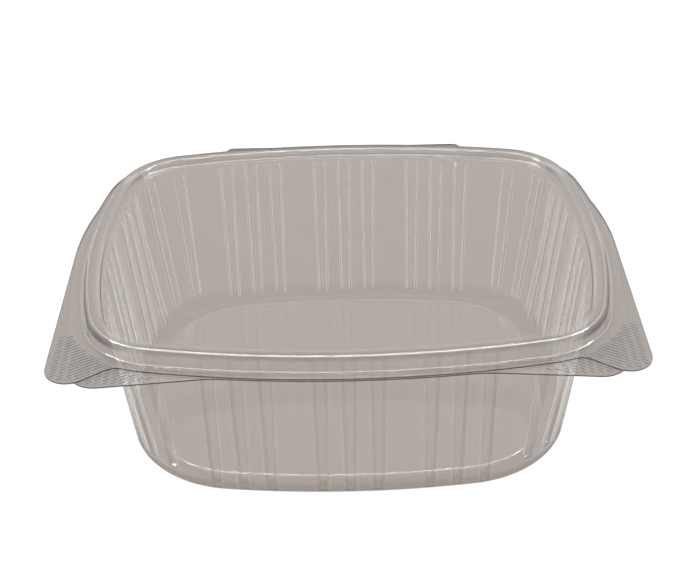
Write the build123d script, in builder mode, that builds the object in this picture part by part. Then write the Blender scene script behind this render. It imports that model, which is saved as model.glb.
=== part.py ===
# Hinged food pack thermoformed from one sheet of clear PET: a ribbed tub and a
# flat lid, joined along a crease at the back, with an opening tab at each front
# corner of both. Millimetres. X is the length, -Y the front, Z = 0 the table.

import os
from math import atan, cos, degrees, hypot, radians, sin, sqrt

from build123d import *

# Material and fit
sheet = 0.5  # gauge of the sheet
gap = 0.25  # air between the closed lid and the base
hinge_end = 0.05  # each half of the brim stops this far short of the crease

# Closed heights, on the outside of the lid
brim_z = 71.3  # top of the lid's brim
ring_rise = 5.1  # crest of the raised ring over the brim
panel_drop = 2.6  # flat panel inside the ring, under the crest
ledge_drop = 1.1  # ledge inside the base, under the panel that hangs over it

# Plan shape of the crest: half length, half width, and the radii of the bowed
# front, the bowed end and the corner. A parallel shape has all five changed alike.
crest = (104.5, 81.8, 398.0, 230.0, 30.0)
riser_out = 3.0  # the foot of the riser stands this far outside the crest
crest_width = 4.2
inner_lean = 0.7  # the ring's inner side leans in this far down to the panel
crest_bevel = 0.9  # softened edges of the crest

# Plan shape of the floor, which is rounder than the rim
floor = (92.5, 72.6, 388.0, 218.0, 46.7)
wall_inset = 5.45  # top of the wall's outer face, inside the crest
floor_round = 4.0
panel_lift = 2.0  # the floor's centre above the ring that the pack stands on
panel_slope = 0.5
ring_width = 8.5

# Brim and hinge
brim_reach = 7.1  # brim outside the crest at the front
back_reach = 5.5
hinge_reach = 2.5  # crease beyond the middle of the back brim
hinge_half = 54.0  # strip that carries the crease
hinge_round = 2.4
hinge_side = 0.48  # straight left on the strip's ends, between their two roundings
tab_x = 112.0  # outer sides of the opening tabs
lid_tab_round = 9.2
lid_tab_y = 97.1  # where the lid tab's straight edges would meet
lid_tab_slant = 37.0
lid_waist = 7.0  # fillet between the tab and the front edge
base_tab = (100.9, 90.6)
base_tab_round = 10.5
base_tab_slope = 0.094
base_waist = 60.0

# Ribs of the long walls and of the end walls, in groups of three
rib_pitch = 11.06
rib_group = 42.6
end_rib_pitch = 9.1
end_rib_group = 36.9
rib_low_half = 2.3  # half width on the wall, at the foot and at the top
rib_high_half = 3.0
rib_depth = 1.9
rib_slope = 0.65
rib_low_z = 2.6
rib_top_drop = 1.3  # top end of the ribs, under the ledge
corner_rib_rise = 6.2  # the corner's ribs start higher, where the floor is rounder
corner_rib_drop = 1.2

crest_z = brim_z + ring_rise
panel_z = crest_z - panel_drop
ledge_z = panel_z - ledge_drop
wall_top = ledge_z - sheet
rib_high_z = wall_top - rib_top_drop
base_brim_z = brim_z - sheet - gap
hinge_y = crest[1] + back_reach + hinge_reach


def inside(shape, inset):
    # The parallel shape that lies inset inside a shape.
    return tuple(size - inset for size in shape)


def square_corner(shape):
    # Where the end arc and the long side's arc would meet with no rounding.
    x, y = shape[0], shape[1]
    for _ in range(20):
        x = shape[0] - shape[3] + sqrt(shape[3] ** 2 - y**2)
        y = shape[1] - shape[2] + sqrt(shape[2] ** 2 - x**2)
    return x, y


def outline(shape, z):
    # A bowed rectangle with rounded corners, drawn at height z.
    x, y = square_corner(shape)
    with BuildSketch(Plane.XY.offset(z)) as drawn:
        with BuildLine():
            ThreePointArc((-x, -y), (0, -shape[1]), (x, -y))
            ThreePointArc((x, -y), (shape[0], 0), (x, y))
            ThreePointArc((x, y), (0, shape[1]), (-x, y))
            ThreePointArc((-x, y), (-shape[0], 0), (-x, -y))
        make_face()
        fillet(drawn.vertices(), shape[4])
    return drawn.sketch


def aside(depth, slope):
    # Sideways distance between two parallel slopes that lie depth apart.
    return depth * hypot(1, slope)


def rim_line(inner_z):
    # Section through the lid's raised ring as (inset from the crest, height): foot,
    # two points at each edge of the crest, and the foot of the inner side.
    rise = crest_z - brim_z
    lean = inner_lean / (crest_z - panel_z)
    riser = hypot(riser_out, rise)
    inner = hypot(lean, 1)
    bevel = crest_bevel
    return [
        Vector(-riser_out - 5, brim_z),
        Vector(-riser_out, brim_z),
        Vector(-bevel * riser_out / riser, crest_z - bevel * rise / riser),
        Vector(bevel, crest_z),
        Vector(crest_width - bevel, crest_z),
        Vector(crest_width + bevel * lean / inner, crest_z - bevel / inner),
        Vector(crest_width + (crest_z - inner_z) * lean, inner_z),
        Vector(crest_width + (crest_z - inner_z) * lean + 5, inner_z),
    ]


def skin(line, depth):
    # The same section line moved into the sheet by depth, without its two ends.
    moved = []
    for before, here, after in zip(line, line[1:], line[2:]):
        into = (here - before).normalized()
        out = (after - here).normalized()
        first = Vector(into.Y, -into.X)
        second = Vector(out.Y, -out.X)
        moved.append(here + (first + second) * (depth / (1 + first.dot(second))))
    return moved


def ring_block(line, drop):
    # Everything under a skin's riser and crest, carried down by drop.
    foot, low, high = line[:3]
    down = foot - (low - foot) * (drop / (low.Y - foot.Y))
    corners = [down, low, high]
    return loft_through(corners)


def pan_block(line, rise):
    # Everything inside a skin's inner side, carried up by rise.
    high, low, foot = line[3:6]
    return loft_through([foot, low, high, high + Vector(0, rise)])


def loft_through(corners):
    # A solid through the outlines at these corners of a section.
    with BuildPart() as block:
        loft([outline(inside(crest, c.X), c.Y) for c in corners], ruled=True)
    return block.part


def wall_at(z):
    # Outline of the wall's outer face at height z.
    top = inside(crest, wall_inset)
    return tuple(low + (high - low) * z / wall_top for low, high in zip(floor, top))


def tub_block(depth, top_z):
    # Everything inside one skin of the wall, with its rounded foot and lifted floor.
    radius = floor_round - depth
    sections = []
    for turn in (0, 30, 60, 90):
        z = depth + radius * (1 - cos(radians(turn)))
        inset = depth + radius * (1 - sin(radians(turn)))
        sections.append(outline(inside(wall_at(z), inset), z))
    sections.append(outline(inside(wall_at(wall_top), depth), top_z))
    low_panel = inside(
        floor, ring_width + depth * panel_slope - aside(depth, panel_slope)
    )
    high_panel = inside(low_panel, panel_lift * panel_slope)
    with BuildPart() as block:
        loft(sections, ruled=True)
        loft(
            [outline(low_panel, depth), outline(high_panel, depth + panel_lift)],
            ruled=True,
            mode=Mode.SUBTRACT,
        )
    return block.part


def wall_point(z, x=None, y=None):
    # The point of the back right quarter of the wall at this x or this y, with the
    # level direction that points out of the wall there.
    shape = wall_at(z)
    corner = Vector(*square_corner(inside(shape, shape[4])))
    long_side = Vector(0, shape[1] - shape[2])
    end_side = Vector(shape[0] - shape[3], 0)
    if x is not None:
        on_side = x <= corner.X * shape[2] / (shape[2] - shape[4])
        centre, radius = (long_side, shape[2]) if on_side else (corner, shape[4])
        point = Vector(x, centre.Y + sqrt(radius**2 - (x - centre.X) ** 2))
    else:
        on_end = y <= corner.Y * shape[3] / (shape[3] - shape[4])
        centre, radius = (end_side, shape[3]) if on_end else (corner, shape[4])
        point = Vector(centre.X + sqrt(radius**2 - (y - centre.Y) ** 2), y)
    return Vector(point.X, point.Y, z), (point - centre).normalized()


def rib_tool(low, high, outward, grow):
    # A long tapered wedge let into the wall from outside. Grown by the gauge it is
    # the matching bulge on the inside.
    up = (high - low).normalized()
    across = up.cross(outward).normalized()
    facing = across.cross(up)
    length = (high - low).length
    start = low + facing * 2
    side = 2 * rib_slope + aside(grow, rib_slope)
    with BuildPart() as tool:
        with BuildSketch(Plane(start, x_dir=-across, z_dir=-facing)):
            with BuildLine():
                Polyline(
                    (-rib_low_half - side, -side),
                    (rib_low_half + side, -side),
                    (rib_high_half + side, length + side),
                    (-rib_high_half - side, length + side),
                    close=True,
                )
            make_face()
        extrude(amount=2 + rib_depth + grow, taper=degrees(atan(rib_slope)))
    return tool.part


# The ribs of one quarter: half of each long wall and end wall, and two at the
# corner, which end higher because the floor is rounder there.
quarter = []
for place in (0, rib_pitch, rib_group - rib_pitch, rib_group, rib_group + rib_pitch):
    quarter.append(
        (wall_point(rib_low_z, x=place), wall_point(rib_high_z, x=place))
    )
for place in (
    0,
    end_rib_pitch,
    end_rib_group - end_rib_pitch,
    end_rib_group,
    end_rib_group + end_rib_pitch,
):
    quarter.append(
        (wall_point(rib_low_z, y=place), wall_point(rib_high_z, y=place))
    )
for foot_in, top_in in ((20.7, 28.9), (12.0, 16.2)):
    quarter.append(
        (
            wall_point(rib_low_z + corner_rib_rise, x=floor[0] - foot_in),
            wall_point(rib_high_z - corner_rib_drop, x=crest[0] - top_in),
        )
    )

ribs = []
for (low, _), (high, outward) in quarter:
    for turn_x in (1, -1) if high.X > 0.01 else (1,):
        for turn_y in (1, -1) if high.Y > 0.01 else (1,):
            ribs.append(
                [
                    Vector(v.X * turn_x, v.Y * turn_y, v.Z)
                    for v in (low, high, outward)
                ]
            )

with BuildPart() as tub:
    add(tub_block(0, wall_top))
    add([rib_tool(*rib, 0) for rib in ribs], mode=Mode.SUBTRACT)

with BuildPart() as hollow:
    add(tub_block(sheet, ledge_z))
    add([rib_tool(*rib, sheet) for rib in ribs], mode=Mode.SUBTRACT)


def brim_sketch(corner, inner, waist, rounding):
    # A brim's outline: parallel to the crest, wider along the front, with an opening
    # tab at each front corner and a strip out to the crease. A tab is given by its
    # sharp corner, a point inside the outline on its front edge, and its two fillets.
    shoulder = (tab_x - 8.4, crest[1] - 34.3)
    back = inside(crest, -back_reach)
    back_y = back[1] - back[2] + sqrt(back[2] ** 2 - hinge_half**2)
    hinge_fillet = hinge_y - hinge_end - back_y - hinge_round - hinge_side
    with BuildSketch() as wing:
        with BuildLine():
            Line(inner, corner)
            if corner[0] < tab_x:
                ThreePointArc(corner, (tab_x - 4.5, crest[1] * -0.635), (tab_x, -1))
            else:
                Line(corner, (tab_x, -1))
            TangentArc((tab_x, -1), shoulder, tangent=(0, 1))
            Polyline(shoulder, (inner[0], shoulder[1]), inner)
        make_face()
    with BuildSketch() as drawn:
        add(outline(inside(crest, -brim_reach), 0))
        Rectangle(
            3 * crest[0],
            2 * crest[1],
            align=(Align.CENTER, Align.MIN),
            mode=Mode.SUBTRACT,
        )
        add(outline(back, 0))
        Rectangle(
            2 * hinge_half, hinge_y - hinge_end, align=(Align.CENTER, Align.MIN)
        )
        add(wing.sketch)
        mirror(wing.sketch, about=Plane.YZ)
        front = [
            v
            for v in drawn.vertices()
            if -corner[1] > -v.Y > 0.8 * crest[1] and v.Y > corner[1] + 0.01
        ]
        reach = max(v.X for v in front)
        fillet([v for v in front if abs(v.X) > reach - 0.01], waist)
        fillet(drawn.vertices().group_by(Axis.Y)[0], rounding)
        strip = [v for v in drawn.vertices() if abs(abs(v.X) - hinge_half) < 0.01]
        fillet([v for v in strip if v.Y < hinge_y - 1], hinge_fillet)
        fillet(drawn.vertices().group_by(Axis.Y)[-1], hinge_round)
    return drawn.sketch


lid_slant = radians(lid_tab_slant)
lid_brim = brim_sketch(
    (tab_x, -lid_tab_y),
    (tab_x - 45 * cos(lid_slant), 45 * sin(lid_slant) - lid_tab_y),
    lid_waist,
    lid_tab_round,
)
base_brim = brim_sketch(
    (base_tab[0], -base_tab[1]),
    (base_tab[0] - 60, 60 * base_tab_slope - base_tab[1]),
    base_waist,
    base_tab_round,
)

# The lid: brim, hollow raised ring, and the panel let down inside the ring.
lid_line = rim_line(panel_z)
lid_top = skin(lid_line, 0)
lid_under = skin(lid_line, sheet)
with BuildPart() as lid:
    add(ring_block(lid_top, sheet))
    extrude(lid_brim.moved(Location((0, 0, brim_z - sheet))), amount=sheet)
    add(ring_block(lid_under, 2 * sheet), mode=Mode.SUBTRACT)
    add(pan_block(lid_under, sheet / 2))
    add(pan_block(lid_top, sheet), mode=Mode.SUBTRACT)
lid.part.label = "lid"

# The base: its ring nests one gauge and one gap under the lid's, and the ledge
# inside it turns down into the wall of the tub.
base_line = rim_line(ledge_z + sheet + gap)
base_top = skin(base_line, sheet + gap)
base_under = skin(base_line, 2 * sheet + gap)
with BuildPart() as base_tray:
    add(ring_block(base_top, sheet))
    extrude(base_brim.moved(Location((0, 0, base_brim_z - sheet))), amount=sheet)
    add(ring_block(base_under, 2 * sheet), mode=Mode.SUBTRACT)
    add(pan_block(base_under, sheet / 2))
    add(tub.part)
    add(pan_block(base_top, sheet), mode=Mode.SUBTRACT)
    add(hollow.part, mode=Mode.SUBTRACT)
base_tray.part.label = "base_tray"

os.makedirs("parts", exist_ok=True)
export_step(base_tray.part, "parts/base_tray.step")
export_step(lid.part, "parts/lid.step")
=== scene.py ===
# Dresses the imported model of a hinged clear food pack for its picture.

from math import atan2, cos, exp, pi, radians, sin, sqrt, tan

import bmesh
import bpy
import numpy as np
from mathutils import Matrix, Vector
from mathutils.geometry import tessellate_polygon


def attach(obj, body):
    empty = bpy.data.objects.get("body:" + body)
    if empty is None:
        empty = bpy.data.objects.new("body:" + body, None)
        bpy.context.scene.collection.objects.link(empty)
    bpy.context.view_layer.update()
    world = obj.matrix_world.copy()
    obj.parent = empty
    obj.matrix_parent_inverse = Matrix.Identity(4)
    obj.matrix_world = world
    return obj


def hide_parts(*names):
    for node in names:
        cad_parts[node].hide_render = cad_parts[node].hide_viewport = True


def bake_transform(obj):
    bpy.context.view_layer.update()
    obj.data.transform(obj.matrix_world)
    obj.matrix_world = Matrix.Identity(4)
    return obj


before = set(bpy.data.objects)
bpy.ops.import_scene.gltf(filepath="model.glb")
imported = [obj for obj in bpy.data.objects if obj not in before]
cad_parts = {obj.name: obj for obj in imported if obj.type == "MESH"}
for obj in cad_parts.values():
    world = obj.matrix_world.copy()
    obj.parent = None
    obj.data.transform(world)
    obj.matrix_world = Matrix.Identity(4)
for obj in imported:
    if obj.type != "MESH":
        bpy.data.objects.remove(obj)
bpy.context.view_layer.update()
world = bpy.data.worlds.new("studio")
scene = bpy.context.scene
scene.world = world
scene.view_settings.view_transform = "Standard"
scene.cycles.transparent_max_bounces = 48
scene.cycles.caustics_reflective = False


# Small helpers


def linear(hexColour):
    # Turns an sRGB hex colour into linear values.
    parts = [int(hexColour[i : i + 2], 16) / 255 for i in (0, 2, 4)]
    return [p / 12.92 if p <= 0.04045 else ((p + 0.055) / 1.055) ** 2.4 for p in parts] + [1]


def addNode(tree, kind, **values):
    # Adds a node; values are settings or sockets, and a socket may take a link.
    node = tree.nodes.new(kind)
    for key, value in values.items():
        if hasattr(node, key):
            setattr(node, key, value)
            continue
        socket = node.inputs[int(key[1:])] if key[1:].isdigit() else node.inputs[key.replace("_", " ")]
        if isinstance(value, bpy.types.NodeSocket):
            tree.links.new(value, socket)
        else:
            socket.default_value = value
    return node


def newMaterial(name):
    material = bpy.data.materials.new(name)
    material.use_nodes = True
    material.node_tree.nodes.clear()
    return material


# Clear PET, vacuum formed. Each face of the sheet lets most light straight through
# and gives a sharp reflection, and it goes dark only where it is seen quite edge on.
# Painted highlights and painted shade follow the tight bends, from an attribute on
# the sheet's points that runs from -1, painted shade, to 1, painted highlight, and shows less
# from behind the face. The attribute "dull" takes gloss off the foot, where the sheet was stretched most.

plastic = {
    "clear": "F9F8F7",
    "edgeOn": "262322",
    "edgePower": 14.0,
    "haze": 0.012,
    "hazeColour": "F0ECEA",
    "headOnReflection": 0.045,
    "edgeReflection": 0.38,
    "roughness": 0.06,
    # bright and dark: strength of the painted highlight and the painted shade; fromBehind, unevenness,
    # patches and faintest weaken the painted highlight and break it into patches
    "bright": 0.8,
    "dark": 0.7,
    "fromBehind": 0.2,
    "unevenness": 350.0,
    "patches": (0.35, 0.65),
    "faintest": 0.6,
}

# The cut edge, seen end on, is painted nearly black as painted shade. The pressed dashes are roughened by
# the tool, which turns them dull and blue-grey.

cutEdgePaintedDark = dict(plastic, clear="1E1B1A", edgeOn="141211")
embossed = dict(
    plastic, clear="C4C9D1", edgeOn="6E7178", haze=0.03, roughness=0.3, edgeReflection=0.2
)


def plasticMaterial(name, values):
    material = newMaterial(name)
    tree = material.node_tree
    place = addNode(tree, "ShaderNodeTexCoord").outputs["Object"]
    noise = addNode(tree, "ShaderNodeTexNoise", Vector=place, Scale=values["unevenness"], Detail=2.0)
    # painted highlight (above 0) and painted shade (below 0) from the sheet's points; noise breaks the
    # painted highlight into patches
    paintedLight = addNode(tree, "ShaderNodeAttribute", attribute_name="paintedLight")
    uneven = addNode(
        tree,
        "ShaderNodeMapRange",
        Value=noise.outputs[0],
        From_Min=values["patches"][0],
        From_Max=values["patches"][1],
        To_Min=values["faintest"],
        To_Max=1.0,
    )
    side = addNode(
        tree,
        "ShaderNodeMath",
        operation="MULTIPLY_ADD",
        i0=addNode(tree, "ShaderNodeNewGeometry").outputs["Backfacing"],
        i1=values["fromBehind"] - 1,
        i2=1.0,
    )
    paintedHighlight = addNode(
        tree,
        "ShaderNodeMath",
        operation="MULTIPLY",
        use_clamp=True,
        i0=paintedLight.outputs["Fac"],
        i1=uneven.outputs[0],
    )
    shown = addNode(
        tree, "ShaderNodeMath", operation="MULTIPLY", i0=paintedHighlight.outputs[0], i1=side.outputs[0]
    )
    hazeAndPaintedHighlight = addNode(
        tree,
        "ShaderNodeMath",
        operation="MULTIPLY_ADD",
        i0=shown.outputs[0],
        i1=values["bright"],
        i2=values["haze"],
    )
    shade = addNode(
        tree,
        "ShaderNodeMath",
        operation="MULTIPLY",
        use_clamp=True,
        i0=paintedLight.outputs["Fac"],
        i1=-values["dark"],
    )
    facing = addNode(tree, "ShaderNodeLayerWeight", Blend=0.5).outputs["Facing"]
    fifth = addNode(tree, "ShaderNodeMath", operation="POWER", i0=facing, i1=5.0)
    fresh = addNode(
        tree,
        "ShaderNodeMath",
        operation="MULTIPLY_ADD",
        i0=fifth.outputs[0],
        i1=values["edgeReflection"] - values["headOnReflection"],
        i2=values["headOnReflection"],
    )
    dull = addNode(tree, "ShaderNodeAttribute", attribute_name="dull")
    kept = addNode(tree, "ShaderNodeMath", operation="SUBTRACT", i0=1.0, i1=dull.outputs["Fac"])
    mirror = addNode(
        tree, "ShaderNodeMath", operation="MULTIPLY", i0=fresh.outputs[0], i1=kept.outputs[0]
    )
    edge = addNode(tree, "ShaderNodeMath", operation="POWER", i0=facing, i1=values["edgePower"])
    darkness = addNode(
        tree, "ShaderNodeMath", operation="MAXIMUM", i0=edge.outputs[0], i1=shade.outputs[0]
    )
    tint = addNode(
        tree,
        "ShaderNodeMix",
        data_type="RGBA",
        i0=darkness.outputs[0],
        i6=linear(values["clear"]),
        i7=linear(values["edgeOn"]),
    )
    through = addNode(tree, "ShaderNodeBsdfTransparent", Color=tint.outputs[2])
    haze = addNode(tree, "ShaderNodeBsdfDiffuse", Color=linear(values["hazeColour"]))
    hazy = addNode(
        tree,
        "ShaderNodeMixShader",
        i0=hazeAndPaintedHighlight.outputs[0],
        i1=through.outputs[0],
        i2=haze.outputs[0],
    )
    gloss = addNode(tree, "ShaderNodeBsdfAnisotropic", Color=(1, 1, 1, 1), Roughness=values["roughness"])
    both = addNode(
        tree,
        "ShaderNodeMixShader",
        i0=mirror.outputs[0],
        i1=hazy.outputs[0],
        i2=gloss.outputs[0],
    )
    addNode(tree, "ShaderNodeOutputMaterial", Surface=both.outputs[0])
    return material


clearPlastic = plasticMaterial("clearPlastic", plastic)
paintedDarkEdge = plasticMaterial("paintedDarkEdge", cutEdgePaintedDark)
embossedPlastic = plasticMaterial("embossedPlastic", embossed)


# Plan shapes: bowed rectangles with rounded corners, in millimetres, as five sizes
# (half length, half width, radius of the long side, of the end, of the corner).

pack = {
    "crest": (104.5, 81.8, 398.0, 230.0, 30.0),
    "floor": (92.5, 72.6, 388.0, 218.0, 46.7),
    "sheet": 0.5,
    "gap": 0.25,
    "brimHeight": 71.3,
    "crestHeight": 76.4,
    "panelHeight": 73.8,
    "ledgeHeight": 72.7,
    "riserOut": 3.0,
    "crestWidth": 4.2,
    "innerLean": 0.7,
    "wallInset": 5.45,
    "floorRound": 4.0,
    "panelLift": 2.0,
    "panelSlope": 0.5,
    "ringWidth": 8.5,
    "flatRun": 5.0,
}
baseBrim = pack["brimHeight"] - pack["sheet"] - pack["gap"]

ribValues = {
    "longWall": (0, 11.06, 31.54, 42.6, 53.66),
    "endWall": (46.0, 36.9, 27.8, 9.1, 0),
    "corner": ((20.7, 28.9), (12.0, 16.2)),
    "lowHeight": 2.6,
    "highHeight": 70.9,
    "cornerRise": 6.2,
    "cornerDrop": 1.2,
    "lowHalf": 2.3,
    "highHalf": 3.0,
    "depth": 1.9,
    "slope": 0.65,
    "softness": 0.45,
    "reach": 6.0,
}


def inside(shape, inset):
    return [size - inset for size in shape]


def quarterArcs(shape):
    # The three arcs of a quarter outline, from the middle of a long side to an end.
    length, width, longRadius, endRadius, radius = shape
    x = length - radius
    y = width - radius
    for _ in range(30):
        x = length - endRadius + sqrt((endRadius - radius) ** 2 - y * y)
        y = width - longRadius + sqrt((longRadius - radius) ** 2 - x * x)
    first = atan2(y - width + longRadius, x)
    second = atan2(y, x - length + endRadius)
    return [
        (0, width - longRadius, longRadius, pi / 2, first),
        (x, y, radius, first, second),
        (length - endRadius, 0, endRadius, second, 0),
    ]


def pointAlong(arcs, distance):
    # Position and outward direction at a distance along a quarter outline.
    for x, y, radius, start, end in arcs:
        span = radius * (start - end)
        if distance <= span or end == 0:
            turn = start - distance / radius
            return x + radius * cos(turn), y + radius * sin(turn), cos(turn), sin(turn)
        distance -= span


def distanceTo(arcs, x=None, y=None):
    # Distance along a quarter outline to the point with this x or this y.
    total = 0
    for cx, cy, radius, start, end in arcs:
        if x is not None:
            turn = atan2(sqrt(max(radius**2 - (x - cx) ** 2, 0)), x - cx)
        else:
            turn = atan2(y - cy, sqrt(max(radius**2 - (y - cy) ** 2, 0)))
        if turn >= end - 1e-9:
            return total + radius * (start - turn)
        total += radius * (start - end)
    return total


wallTop = pack["ledgeHeight"] - pack["sheet"]


def wallAt(z):
    top = inside(pack["crest"], pack["wallInset"])
    return [low + (high - low) * z / wallTop for low, high in zip(pack["floor"], top)]


def ribLines():
    # For each rib of a quarter: distance along the outline at the bottom and the
    # top of the wall, and the heights at which the rib ends.
    marks = []
    low, high = ribValues["lowHeight"], ribValues["highHeight"]
    for x in ribValues["longWall"]:
        marks.append(({"x": x}, {"x": x}, low, high))
    for footIn, topIn in ribValues["corner"]:
        foot = {"x": pack["floor"][0] - footIn}
        top = {"x": pack["crest"][0] - topIn}
        marks.append((foot, top, low + ribValues["cornerRise"], high - ribValues["cornerDrop"]))
    for y in ribValues["endWall"]:
        marks.append(({"y": y}, {"y": y}, low, high))
    lines = []
    for foot, top, zLow, zHigh in marks:
        a = distanceTo(quarterArcs(wallAt(zLow)), **foot)
        b = distanceTo(quarterArcs(wallAt(zHigh)), **top)
        slope = (b - a) / (zHigh - zLow)
        lines.append((a - slope * zLow, a + slope * (wallTop - zLow), zLow, zHigh))
    return lines


ribs = ribLines()


def ease(value, softness):
    # Zero below, the value above, with a soft start.
    if value <= -softness:
        return 0.0
    if value >= softness:
        return value
    return (value + softness) ** 2 / 4 / softness


def ribHalf(part):
    # Half a rib's width at a share of its height.
    return ribValues["lowHalf"] + (ribValues["highHalf"] - ribValues["lowHalf"]) * part


def ribDepth(distance, z):
    # How far the wall is let in by its ribs at a point.
    best = 0.0
    soft = ribValues["softness"]
    for bottom, top, zLow, zHigh in ribs:
        across = abs(distance - bottom - (top - bottom) * z / wallTop)
        if across > ribValues["reach"]:
            continue
        part = min(max((z - zLow) / (zHigh - zLow), 0), 1)
        depth = ribValues["depth"]
        for room in (ribHalf(part) - across, z - zLow, zHigh - z):
            depth = depth - ease(depth - room / ribValues["slope"], soft)
        best = max(best, ease(depth, soft))
    return best


# Painted highlight (above 0) and painted shade (below 0) at a rib's bends, with their places measured from
# the rib's edge. From inside the pack both bends of each side get a painted highlight, the flank
# painted shade, and a painted highlight tick ends the rib. From outside it shows as a faint painted dark
# line.

ribLight = {
    "place": {"outer": 0.1, "inner": -0.985, "flank": -0.5},
    "inside": {"outer": 1.0, "inner": 0.75, "flank": -0.35, "foot": 1.0},
    "outside": {"outer": 0.06, "inner": -0.22, "flank": 0.0, "foot": -0.4},
    "width": 0.2,
    "footReach": 0.25,
    "topLoss": 0.35,
}


def paintedRibLightAt(distance, z, innerSkin):
    strength = ribLight["inside" if innerSkin else "outside"]
    places = ribLight["place"]
    width = ribLight["width"]
    total = 0.0
    for bottom, top, zLow, zHigh in ribs:
        across = abs(distance - bottom - (top - bottom) * z / wallTop)
        if across > ribValues["reach"] or z < zLow - width or z > zHigh + width:
            continue
        part = (z - zLow) / (zHigh - zLow)
        off = across - ribHalf(part)
        if off < places["outer"] and abs(z - zLow) < ribLight["footReach"]:
            line = strength["foot"]
        else:
            line = sum(
                strength[name] * exp(-(((off - place) / width) ** 2)) for name, place in places.items()
            )
        total += line * (1 - ribLight["topLoss"] * part)
    return total


columnValues = {"nearest": 0.2, "fromEnds": 0.05, "widest": 2.6}


def quarterColumns():
    # Places round a quarter outline at the bottom and the top of the wall, close
    # together across each rib: in its bottom, at its bends, down its flanks and beside it.
    flat = ribValues["depth"] * ribValues["slope"]
    offsets = (-1.9 * flat, -flat - 0.1, -flat + 0.25, -0.57, -0.24, 0.1, 0.55)
    columns = set()
    for bottom, top, _, _ in ribs:
        for side in (-1, 1):
            for offset in offsets:
                low = bottom + side * max(ribValues["lowHalf"] + offset, columnValues["nearest"])
                high = top + side * max(ribValues["highHalf"] + offset, columnValues["nearest"])
                columns.add((round(low, 4), round(high, 4)))
        columns.add((round(bottom, 4), round(top, 4)))
    ends = []
    for z in (0, wallTop):
        arcs = quarterArcs(wallAt(z))
        ends.append(sum(radius * (start - end) for _, _, radius, start, end in arcs))
    spare = columnValues["fromEnds"]
    kept = sorted(c for c in columns if spare < c[0] < ends[0] - spare)
    kept = [(0.0, 0.0)] + kept + [tuple(ends)]
    filled = [kept[0]]
    for low, high in kept[1:]:
        before = filled[-1]
        steps = int(max(1, (high - before[1]) // columnValues["widest"]))
        for i in range(1, steps + 1):
            part = i / steps
            filled.append((before[0] + (low - before[0]) * part, before[1] + (high - before[1]) * part))
    return filled


def allRound(quarter):
    # Four mirrored quarters as one loop: back right, front right, front left, back left.
    quarter = np.array(quarter, float)
    turn = quarter[::-1]
    return np.concatenate(
        [
            quarter[:-1],
            turn[:-1] * (1, -1, 1),
            quarter[:-1] * (-1, -1, 1),
            turn[:-1] * (-1, 1, 1),
        ]
    )


columns = quarterColumns()


def mitred(points, depth):
    # A section line moved sideways by depth, kept sharp.
    moved = []
    for before, here, after in zip(points, points[1:], points[2:]):
        into = Vector((here[0] - before[0], here[1] - before[1])).normalized()
        out = Vector((after[0] - here[0], after[1] - here[1])).normalized()
        first = Vector((into.y, -into.x))
        second = Vector((out.y, -out.x))
        moved.append(Vector(here) + (first + second) * depth / (1 + first.dot(second)))
    return moved


def softened(points, radii, steps=4):
    # A section line with an arc of the given radius at each inner corner.
    line = [Vector(points[0])]
    for before, here, after, radius in zip(points, points[1:], points[2:], radii):
        here = Vector(here)
        into = (here - Vector(before)).normalized()
        out = (Vector(after) - here).normalized()
        angle = into.angle(out)
        reach = radius * tan(angle / 2)
        start = here - into * reach
        bisect = (out - into).normalized()
        centre = here + bisect * (radius / cos(angle / 2))
        spoke = start - centre
        sense = 1 if into.x * out.y - into.y * out.x > 0 else -1
        for i in range(steps + 1):
            turn = Matrix.Rotation(sense * angle * i / steps, 2)
            line.append(centre + turn @ spoke)
    line.append(Vector(points[-1]))
    return line


# Loops round the pack, and the painted highlight and painted shade at their points


def rimRow(inset, z):
    # A loop parallel to the crest.
    shape = inside(pack["crest"], pack["wallInset"])
    arcs = quarterArcs(shape)
    row = []
    for _, along in columns:
        x, y, nx, ny = pointAlong(arcs, along)
        out = pack["wallInset"] - inset
        row.append((x + nx * out, y + ny * out, z))
    return allRound(row)


footValues = {"plainBelow": 1.2, "softness": 0.3}


def wallRow(z, inset):
    # A loop of the wall at height z, let in by its foot's rounding or by the ribs.
    arcs = quarterArcs(wallAt(z))
    row = []
    for low, high in columns:
        along = low + (high - low) * z / wallTop
        x, y, nx, ny = pointAlong(arcs, along)
        deep = inset
        if z > footValues["plainBelow"]:
            deep += ease(ribDepth(along, z) - inset, footValues["softness"])
        row.append((x - nx * deep, y - ny * deep, z))
    return allRound(row)


def paintedWallLight(z, innerSkin):
    # The painted highlight and painted shade of the rib bends along a loop of the wall.
    row = []
    for low, high in columns:
        row.append((0, 0, paintedRibLightAt(low + (high - low) * z / wallTop, z, innerSkin)))
    return [point[2] for point in allRound(row)]


rimLight = {
    "leastShare": 0.3,
    "cornerFrom": 82.0,
    "cornerRun": 10.0,
    "frontFrom": 8.0,
    "frontRun": 25.0,
}


def paintedRimLight(strength):
    # An even painted highlight or painted shade along a loop of the rim, strongest on the long sides.
    arcs = quarterArcs(pack["crest"])
    length = sum(radius * (start - end) for _, _, radius, start, end in arcs)
    least = rimLight["leastShare"]
    row = []
    for _, along in columns:
        facingOut = pointAlong(arcs, along / columns[-1][1] * length)[3]
        row.append((0, 0, strength * (least + (1 - least) * facingOut**4)))
    return [point[2] for point in allRound(row)]


def cornerShade(strength):
    # Painted shade along a loop of the rim round the two front corners.
    values = []
    for x, y, _ in rimRow(0, 0):
        side = min(max((abs(x) - rimLight["cornerFrom"]) / rimLight["cornerRun"], 0), 1)
        front = min(max((rimLight["frontFrom"] - y) / rimLight["frontRun"], 0), 1)
        values.append(-strength * side * front)
    return values


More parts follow.
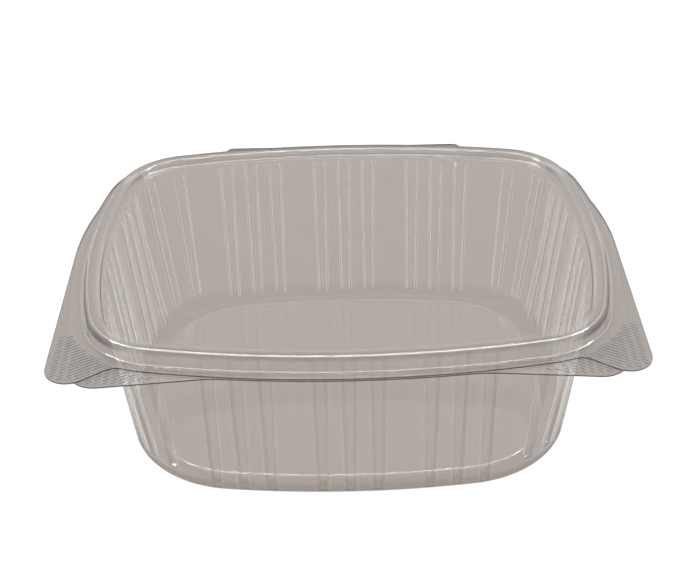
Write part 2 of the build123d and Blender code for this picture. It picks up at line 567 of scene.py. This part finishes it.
def rimSection(innerHeight, depth):
    # The ring's section as sharp corners from the panel or ledge out to the brim.
    lean = pack["innerLean"] / (pack["crestHeight"] - pack["panelHeight"])
    drop = pack["crestHeight"] - innerHeight
    line = [
        (-pack["riserOut"] - pack["flatRun"], pack["brimHeight"]),
        (-pack["riserOut"], pack["brimHeight"]),
        (0, pack["crestHeight"]),
        (pack["crestWidth"], pack["crestHeight"]),
        (pack["crestWidth"] + drop * lean, innerHeight),
        (pack["crestWidth"] + drop * lean + pack["flatRun"], innerHeight),
    ]
    return mitred(line, depth)[::-1]


def outlineOf(node, z):
    # The outer edge of a node's flat brim, in order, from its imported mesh.
    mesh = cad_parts[node].data
    places = {}
    keys = []
    for vertex in mesh.vertices:
        key = tuple(round(value * 1e6) for value in vertex.co)
        keys.append(key)
        places[key] = Vector(vertex.co) * 1000
    count = {}
    for polygon in mesh.polygons:
        ring = [keys[i] for i in polygon.vertices]
        if all(abs(places[k].z - z) < 0.01 for k in ring):
            for a, b in zip(ring, ring[1:] + ring[:1]):
                edge = tuple(sorted((a, b)))
                count[edge] = count.get(edge, 0) + 1
    follow = {}
    for (a, b), uses in count.items():
        if uses == 1 and a != b:
            follow.setdefault(a, []).append(b)
            follow.setdefault(b, []).append(a)
    start = max(follow, key=lambda k: k[1])
    loop = [start]
    before, here = None, start
    while True:
        onward = [k for k in follow[here] if k != before]
        before, here = here, onward[0]
        if here == start:
            break
        loop.append(here)
    return [places[k] for k in loop]


def secondSkin(rows, side):
    # The loops moved by the sheet's gauge, up (1) or down (-1) at the brim.
    along = np.roll(rows, -1, axis=1) - np.roll(rows, 1, axis=1)
    up = np.empty_like(rows)
    up[1:-1] = rows[2:] - rows[:-2]
    up[0] = rows[1] - rows[0]
    up[-1] = rows[-1] - rows[-2]
    normal = np.cross(along, up)
    normal /= np.linalg.norm(normal, axis=2, keepdims=True)
    if normal[-1][0][2] * side < 0:
        normal = -normal
    return rows + normal * pack["sheet"]


def skinFaces(count, around, first, flipped):
    # A skin's quads from loop to loop and its flat middle; first is its first point.
    faces = []
    for r in range(count - 1):
        low = first + r * around
        for c in range(around):
            d = (c + 1) % around
            faces.append([low + c, low + d, low + around + d, low + around + c])
    faces.append([first + c for c in range(around)][::-1])
    return [face[::-1] for face in faces] if flipped else faces


def brimFaces(points, last, around, edge, total, flipped):
    # Triangles of the flat brim, from a skin's last loop out to the cut edge.
    rim = [Vector(p) for p in points[edge : edge + total]]
    hole = [Vector(p) for p in points[last : last + around]]
    faces = []
    for triangle in tessellate_polygon([rim, hole]):
        faces.append([edge + i if i < total else last + i - total for i in triangle])
    return [face[::-1] for face in faces] if flipped else faces


def setLight(mesh, name, values):
    # An attribute on the skins' points; those of the cut edge keep 0.
    spare = len(mesh.vertices) - len(values)
    attribute = mesh.attributes.new(name, "FLOAT", "POINT")
    attribute.data.foreach_set("value", list(values) + [0.0] * spare)


def closedPiece(name, mesh):
    # A piece from a closed mesh, with its faces turned outwards.
    build = bmesh.new()
    build.from_mesh(mesh)
    bmesh.ops.recalc_face_normals(build, faces=build.faces)
    if build.calc_volume(signed=True) < 0:
        bmesh.ops.reverse_faces(build, faces=build.faces)
    print(name, "encloses", round(build.calc_volume(signed=True) * 1e9), "cubic millimetres")
    build.to_mesh(mesh)
    build.free()
    piece = bpy.data.objects.new(name, mesh)
    scene.collection.objects.link(piece)
    return piece


shellValues = {"stretchedDull": 0.9, "sharpAngle": 50.0}


def shellPiece(name, rows, bends, dullRows, side, outline):
    # A sheet of even gauge: the given skin, a second one beside it, the flat middle,
    # the flat brim out to its cut edge, and the edge.
    rows = np.array(rows)
    skins = (rows, secondSkin(rows, side))
    count, around = rows.shape[:2]
    total = len(outline)
    edges = [np.array([(p.x, p.y, skin[-1][0][2]) for p in outline]) for skin in skins]
    points = np.concatenate([skin.reshape(-1, 3) for skin in skins] + edges)
    edgeStart = 2 * count * around
    faces = skinFaces(count, around, 0, False) + skinFaces(count, around, count * around, True)
    for i in (0, 1):
        last = (i * count + count - 1) * around
        faces += brimFaces(points, last, around, edgeStart + i * total, total, i == 1)
    cutStart = len(faces)
    for i in range(edgeStart, edgeStart + total):
        j = i + 1 if i + 1 < edgeStart + total else edgeStart
        faces.append([i, j, j + total, i + total])
    mesh = bpy.data.meshes.new(name)
    mesh.from_pydata([tuple(p / 1000) for p in points], [], faces)
    mesh.materials.append(clearPlastic)
    mesh.materials.append(paintedDarkEdge)
    # the cut edge takes the nearly black painted shade
    for polygon in mesh.polygons[cutStart:]:
        polygon.material_index = 1
    # painted highlight and painted shade on the skins' points
    setLight(mesh, "paintedLight", np.array(bends).reshape(-1))
    dull = [shellValues["stretchedDull"] * (r in dullRows) for r in range(count) for _ in range(around)]
    setLight(mesh, "dull", dull + dull)
    piece = closedPiece(name, mesh)
    mesh.shade_smooth()
    mesh.set_sharp_from_angle(angle=radians(shellValues["sharpAngle"]))
    return piece


# The lid: flat panel, raised ring and brim. "light" holds the painted highlight and
# painted shade at its bends and "shade" the painted shade round the front corners, by the
# loop's number from the panel out; "brimShade" is painted shade on the brim. "bendRadii" run the same way.

lid = {
    "light": {3: 0.3, 4: -0.4, 8: 0.4, 11: -0.5, 13: 1.0, 15: -0.4, 20: 0.8, 22: -0.6},
    "shade": {3: 1.2, 16: 1.0},
    "brimShade": -0.22,
    "brimFrom": 23,
    "bendRadii": (0.8, 1.0, 1.0, 0.7),
    "panelRun": 4.0,
    "brimRun": 1.2,
    "riserLoop": 16,
    "riserParts": (0.4, 0.65),
}

lidSection = rimSection(pack["panelHeight"], 0)
lidLine = softened(
    [lidSection[0] + Vector((lid["panelRun"], 0))]
    + lidSection
    + [lidSection[-1] - Vector((lid["brimRun"], 0))],
    lid["bendRadii"],
)
# the two extra loops carry the painted shade round the front corners
riser = lid["riserLoop"]  # two more loops go in the riser, to hold the shade
lidLine[riser:riser] = [lidLine[riser - 1].lerp(lidLine[riser], part) for part in lid["riserParts"]]
topPaintedLight = []
for index in range(len(lidLine)):
    light = lid["light"].get(index, lid["brimShade"] if index >= lid["brimFrom"] else 0)
    pair = zip(paintedRimLight(light), cornerShade(lid["shade"].get(index, 0)))
    topPaintedLight.append([light + shade for light, shade in pair])
underPaintedLight = [paintedRimLight(0) for _ in lidLine]
lidRows = [rimRow(p.x, p.y) for p in lidLine]
lidOutline = outlineOf("lid", pack["brimHeight"])
clearLid = shellPiece("clearLid", lidRows, [topPaintedLight, underPaintedLight], (), -1, lidOutline)
print("lid", len(clearLid.data.polygons))

# The base: lifted floor, foot, ribbed wall, ledge, ring and brim. Its loops are closest
# together where the ribs start and end. The foot is stretched most, so it is dull.

base = {
    "floorRadii": (0.8, 0.8),
    "floorRun": 6.0,
    "floorPast": 0.3,
    # floorLight, rimLight and brimShade: painted highlight and painted shade on loops of the floor panel,
    # ring and brim
    "floorLight": {2: 0.4},
    "footTurns": (0, 15, 30, 42, 52),
    "lowHeights": (1.9, 2.3, 2.7, 3.1, 3.5, 3.9, 4.4, 5.2, 7.0, 8.3, 8.8, 9.3, 9.8, 10.4, 11.5),
    "middleHeights": (30, 50),
    "highHeights": (66, 68.0, 68.5, 69.0, 69.6, 70.0, 70.4, 70.9, 71.4),
    "dullLoops": range(5, 23),
    "wallEnd": 0.6,
    "wallLean": 0.02,
    "rimRadii": (0.3, 0.6, 0.25, 0.25, 1.1),
    "rimLight": 0.3,
    "rimLightEvery": 5,
    "brimShade": -0.22,
    "brimFrom": 19,
}

ledge = pack["ledgeHeight"] + pack["sheet"] + pack["gap"]
baseSection = rimSection(ledge, 2 * pack["sheet"] + pack["gap"])
baseRows = []
outerPaintedLight = []
innerPaintedLight = []
lowEdge = pack["ringWidth"]
highEdge = lowEdge + pack["panelLift"] * pack["panelSlope"]
floorLine = softened(
    [
        (highEdge + base["floorRun"], pack["panelLift"]),
        (highEdge, pack["panelLift"]),
        (lowEdge, 0),
        (pack["floorRound"] + base["floorPast"], 0),
    ],
    base["floorRadii"],
    3,
)
floorArcs = quarterArcs(wallAt(0))
for index, p in enumerate(floorLine):
    row = []
    for along, _ in columns:
        x, y, nx, ny = pointAlong(floorArcs, along)
        row.append((x - nx * p.x, y - ny * p.x, p.y))
    baseRows.append(allRound(row))
    outerPaintedLight.append(paintedRimLight(0))
    innerPaintedLight.append(paintedRimLight(base["floorLight"].get(index, 0)))
for turn in base["footTurns"]:
    z = pack["floorRound"] * (1 - cos(radians(turn)))
    baseRows.append(wallRow(z, pack["floorRound"] * (1 - sin(radians(turn)))))
    outerPaintedLight.append(paintedRimLight(0))
    innerPaintedLight.append(paintedRimLight(0))
for z in base["lowHeights"] + base["middleHeights"] + base["highHeights"]:
    level = max(1 - z / pack["floorRound"], 0)
    baseRows.append(wallRow(z, pack["floorRound"] * (1 - sqrt(1 - level**2))))
    outerPaintedLight.append(paintedWallLight(z, False))
    innerPaintedLight.append(paintedWallLight(z, True))
wallEnd = (pack["wallInset"] + base["wallLean"], wallTop - base["wallEnd"])
baseLine = softened(
    [wallEnd, (pack["wallInset"], wallTop)]
    + baseSection
    + [baseSection[-1] - Vector((lid["brimRun"], 0))],
    base["rimRadii"],
)
for index, p in enumerate(baseLine[1:]):
    baseRows.append(rimRow(p.x, p.y))
    outerPaintedLight.append(paintedRimLight(base["brimShade"] if index >= base["brimFrom"] else 0))
    innerPaintedLight.append(paintedRimLight(base["rimLight"] if index % base["rimLightEvery"] == 2 else 0))
baseOutline = outlineOf("base_tray", baseBrim)
clearBase = shellPiece(
    "clearBase", baseRows, [outerPaintedLight, innerPaintedLight], base["dullLoops"], 1, baseOutline
)
print("base", len(clearBase.data.polygons))

for piece, body, node in ((clearLid, "lid", "lid"), (clearBase, "base", "base_tray")):
    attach(piece, body)
    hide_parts(node)

# The grip hatching of the opening tabs: short slanted dashes pressed into the sheet, in
# even rows

hatch = {
    "dashLength": 3.3,
    "dashWidth": 0.4,
    "dashHeight": 0.14,
    "turn": 33.0,
    "columnPitch": 3.1,
    "rowPitch": 1.85,
    "columns": 40,
    "rows": 50,
    "firstRow": 50.0,
    "lidStart": 62.0,
    "baseStart": 63.8,
    "edgeRoom": 1.3,
    "lineRoom": 0.6,
}

# The hatching starts in front of this line, given as distances to the side and to the
# front from the pack's middle. It runs from the side edge round the rim's corner.

hatchLine = (
    (112, 57),
    (104.4, 58.4),
    (101.8, 63.6),
    (98.3, 68.1),
    (95.8, 70.2),
    (90.4, 75.6),
    (84, 80),
    (74, 84.2),
    (64, 86.6),
)


def edgeRoom(point, outline):
    # Distance from a point inside an outline to its edge, or a negative number outside.
    within = False
    nearest = 1e9
    for a, b in zip(outline, outline[1:] + outline[:1]):
        if (a.y > point.y) != (b.y > point.y):
            if point.x < a.x + (point.y - a.y) / (b.y - a.y) * (b.x - a.x):
                within = not within
        along = (b - a).xy
        part = 0 if along.length < 1e-9 else (point - a.xy).dot(along) / along.length_squared
        nearest = min(nearest, (point - a.xy - along * min(max(part, 0), 1)).length)
    return nearest if within else -nearest


def roomPastLine(x, y):
    # How far a point is in front of the line, or a negative number beside it.
    for (x1, y1), (x2, y2) in zip(hatchLine, hatchLine[1:]):
        if x2 <= x <= x1:
            return y - y1 - (y2 - y1) * (x - x1) / (x2 - x1)
    return -1


def dashPlaces(outline, start):
    # Centres of the dashes on the right-hand tab, as positive lengths.
    flipped = [Vector((p.x, -p.y, 0)) for p in outline]
    places = []
    for column in range(hatch["columns"]):
        for row in range(hatch["rows"]):
            x = start + column * hatch["columnPitch"]
            y = hatch["firstRow"] + row * hatch["rowPitch"]
            if roomPastLine(x, y) > hatch["lineRoom"]:
                if edgeRoom(Vector((x, y)), flipped) > hatch["edgeRoom"]:
                    places.append((x, y))
    return places


def dashTree():
    tree = bpy.data.node_groups.new("pressedDashes", "GeometryNodeTree")
    tree.interface.new_socket("Geometry", in_out="INPUT", socket_type="NodeSocketGeometry")
    for name in ("Length", "Width", "Height", "Turn"):
        tree.interface.new_socket(name, in_out="INPUT", socket_type="NodeSocketFloat")
    tree.interface.new_socket("Geometry", in_out="OUTPUT", socket_type="NodeSocketGeometry")
    given = addNode(tree, "NodeGroupInput")
    size = addNode(
        tree,
        "ShaderNodeCombineXYZ",
        X=given.outputs["Length"],
        Y=given.outputs["Width"],
        Z=given.outputs["Height"],
    )
    side = addNode(tree, "GeometryNodeInputNamedAttribute", data_type="FLOAT", Name="side")
    turn = addNode(
        tree, "ShaderNodeMath", operation="MULTIPLY", i0=side.outputs["Attribute"], i1=given.outputs["Turn"]
    )
    spin = addNode(tree, "ShaderNodeCombineXYZ", Z=turn.outputs[0])
    dash = addNode(tree, "GeometryNodeMeshIcoSphere", Radius=0.5, Subdivisions=2)
    placed = addNode(
        tree,
        "GeometryNodeInstanceOnPoints",
        Points=given.outputs["Geometry"],
        Instance=dash.outputs["Mesh"],
        Rotation=spin.outputs[0],
        Scale=size.outputs[0],
    )
    real = addNode(tree, "GeometryNodeRealizeInstances", Geometry=placed.outputs[0])
    painted = addNode(
        tree, "GeometryNodeSetMaterial", Geometry=real.outputs[0], Material=embossedPlastic
    )
    addNode(tree, "NodeGroupOutput", Geometry=painted.outputs[0])
    return tree


dashes = dashTree()


def hatchPiece(name, outline, z, start):
    points = []
    sides = []
    for x, y in dashPlaces(outline, start):
        for side in (-1, 1):
            points.append((side * x / 1000, -y / 1000, z / 1000))
            sides.append(-side)  # the dashes slant inwards on both tabs
    mesh = bpy.data.meshes.new(name)
    mesh.from_pydata(points, [], [])
    mesh.attributes.new("side", "FLOAT", "POINT").data.foreach_set("value", sides)
    seeds = bpy.data.objects.new(name + "Points", mesh)
    scene.collection.objects.link(seeds)
    modifier = seeds.modifiers.new("dashes", "NODES")
    modifier.node_group = dashes
    inputs = {
        "Length": hatch["dashLength"] / 1000,
        "Width": hatch["dashWidth"] / 1000,
        "Height": 2 * hatch["dashHeight"] / 1000,
        "Turn": radians(hatch["turn"]),
    }
    for item in dashes.interface.items_tree:
        if item.in_out == "INPUT" and item.name in inputs:
            modifier[item.identifier] = inputs[item.name]
    bpy.context.view_layer.update()
    graph = bpy.context.evaluated_depsgraph_get()
    done = bpy.data.meshes.new_from_object(seeds.evaluated_get(graph))
    bpy.data.objects.remove(seeds)
    done.shade_smooth()
    piece = bpy.data.objects.new(name, done)
    scene.collection.objects.link(piece)
    return piece


lidHatch = hatchPiece("lidHatch", lidOutline, pack["brimHeight"], hatch["lidStart"])
baseHatch = hatchPiece("baseHatch", baseOutline, baseBrim, hatch["baseStart"])
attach(lidHatch, "lid")
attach(baseHatch, "base")
print("hatching", len(lidHatch.data.polygons), len(baseHatch.data.polygons))

# The crease: the sheet's fold between the two brims along the back, a half-round strip

crease = {"half": 51.6, "y": 89.75, "z": 70.675, "outer": 0.625, "inner": 0.125, "steps": 8}
points = []
for radius in (crease["outer"], crease["inner"]):
    for i in range(crease["steps"] + 1):
        turn = pi * i / crease["steps"] - pi / 2
        y = crease["y"] + radius * cos(turn)
        z = crease["z"] + radius * sin(turn)
        points += [(side * crease["half"] / 1000, y / 1000, z / 1000) for side in (-1, 1)]
faces = []
inner = 2 * (crease["steps"] + 1)
for a in range(0, inner - 2, 2):
    b = a + 2
    faces.append((a, a + 1, b + 1, b))
    faces.append((inner + b, inner + b + 1, inner + a + 1, inner + a))
    faces.append((b, inner + b, inner + a, a))
    faces.append((a + 1, inner + a + 1, inner + b + 1, b + 1))
last = inner - 2
faces.append((0, inner, inner + 1, 1))
faces.append((last + 1, inner + last + 1, inner + last, last))
mesh = bpy.data.meshes.new("creaseStrip")
mesh.from_pydata(points, [], faces)
mesh.materials.append(clearPlastic)
creaseStrip = closedPiece("creaseStrip", mesh)
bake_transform(creaseStrip)
print("crease")

# Camera, from the fit to the photograph

view = {
    "pitch": 34.0,
    "yaw": 0.35,
    "roll": -1.1,
    "distance": 0.59067,
    "target": (0.00144, 0.0, 0.04856),
    "lens": 71.62,
    "sensor": 36.0,
}

pitch, yaw, roll = (radians(view[key]) for key in ("pitch", "yaw", "roll"))
ahead = Vector((sin(yaw) * cos(pitch), cos(yaw) * cos(pitch), -sin(pitch)))
right = ahead.cross(Vector((0, 0, 1))).normalized()
upward = right.cross(ahead)
rightTurned = right * cos(roll) + upward * sin(roll)
upTurned = upward * cos(roll) - right * sin(roll)
camera = bpy.data.objects.new("camera", bpy.data.cameras.new("camera"))
camera.data.lens = view["lens"]
camera.data.sensor_width = view["sensor"]
camera.data.clip_start = 0.01
turned = Matrix((rightTurned, upTurned, -ahead)).transposed().to_4x4()
camera.matrix_world = Matrix.Translation(Vector(view["target"]) - ahead * view["distance"]) @ turned
scene.collection.objects.link(camera)
scene.camera = camera

# Floor and light

studio = {
    "floor": "F2F2F2",
    "floorHalf": 6.0,
    "shadowShare": 0.3,
    "throughPlastic": "A59D98",
    "horizon": 0.6,
    "overhead": 1.2,
    "aim": (0, 0, 0.05),
    "lamps": (
        ("above", (0.0, 0.5, 0.9), (0.6, 0.2), 6),
        ("left", (-0.9, -0.2, 0.7), (0.16, 0.6), 5),
        ("right", (0.9, -0.1, 0.7), (0.16, 0.6), 5),
    ),
}


def showsBackdrop(tree, path):
    # 1 for what the camera, a reflection or clear glass sees, 0 for light on the pack.
    seen = addNode(
        tree,
        "ShaderNodeMath",
        operation="ADD",
        i0=path.outputs["Is Camera Ray"],
        i1=path.outputs["Is Glossy Ray"],
    )
    seen = addNode(
        tree,
        "ShaderNodeMath",
        operation="ADD",
        use_clamp=True,
        i0=seen.outputs[0],
        i1=path.outputs["Is Transmission Ray"],
    )
    return seen.outputs[0]


def backdropColour(tree, path):
    # Whether the camera sees the backdrop through the plastic, and its colour: grey
    # there, white everywhere else.
    through = addNode(
        tree, "ShaderNodeMath", operation="GREATER_THAN", i0=path.outputs["Transparent Depth"], i1=0.5
    )
    through = addNode(
        tree,
        "ShaderNodeMath",
        operation="MULTIPLY",
        i0=through.outputs[0],
        i1=path.outputs["Is Camera Ray"],
    )
    colour = addNode(
        tree,
        "ShaderNodeMix",
        data_type="RGBA",
        i0=through.outputs[0],
        i6=(1, 1, 1, 1),
        i7=linear(studio["throughPlastic"]),
    )
    return through.outputs[0], colour.outputs[2]


floorMaterial = newMaterial("whiteFloor")
tree = floorMaterial.node_tree
path = addNode(tree, "ShaderNodeLightPath")
matt = addNode(tree, "ShaderNodeBsdfDiffuse", Color=linear(studio["floor"]))
through, colour = backdropColour(tree, path)
bright = addNode(tree, "ShaderNodeEmission", Color=colour, Strength=1.0)
share = addNode(
    tree,
    "ShaderNodeMath",
    operation="MULTIPLY",
    i0=showsBackdrop(tree, path),
    i1=1 - studio["shadowShare"],
)
share = addNode(tree, "ShaderNodeMath", operation="MAXIMUM", i0=share.outputs[0], i1=through)
both = addNode(
    tree, "ShaderNodeMixShader", i0=share.outputs[0], i1=matt.outputs[0], i2=bright.outputs[0]
)
addNode(tree, "ShaderNodeOutputMaterial", Surface=both.outputs[0])
floorMesh = bpy.data.meshes.new("floor")
half = studio["floorHalf"]
corners = [(-half, -half, 0), (half, -half, 0), (half, half, 0), (-half, half, 0)]
floorMesh.from_pydata(corners, [], [(0, 1, 2, 3)])
floorMesh.materials.append(floorMaterial)
floorPiece = bpy.data.objects.new("floor", floorMesh)
scene.collection.objects.link(floorPiece)

world.use_nodes = True
tree = world.node_tree
tree.nodes.clear()
path = addNode(tree, "ShaderNodeLightPath")
direction = addNode(tree, "ShaderNodeTexCoord")
height = addNode(tree, "ShaderNodeSeparateXYZ", Vector=direction.outputs["Generated"])
sky = addNode(
    tree,
    "ShaderNodeMapRange",
    Value=height.outputs["Z"],
    From_Min=0.0,
    From_Max=0.9,
    To_Min=studio["horizon"],
    To_Max=studio["overhead"],
)
level = addNode(
    tree,
    "ShaderNodeMix",
    data_type="RGBA",
    i0=showsBackdrop(tree, path),
    i6=sky.outputs[0],
    i7=backdropColour(tree, path)[1],
)
light = addNode(tree, "ShaderNodeBackground", Color=level.outputs[2], Strength=1.0)
addNode(tree, "ShaderNodeOutputWorld", Surface=light.outputs[0])

for name, place, size, power in studio["lamps"]:
    lamp = bpy.data.lights.new(name, "AREA")
    lamp.shape = "RECTANGLE"
    lamp.size, lamp.size_y = size
    lamp.energy = power
    holder = bpy.data.objects.new(name, lamp)
    holder.location = place
    aim = Vector(studio["aim"]) - Vector(place)
    holder.rotation_euler = aim.to_track_quat("-Z", "Y").to_euler()
    scene.collection.objects.link(holder)
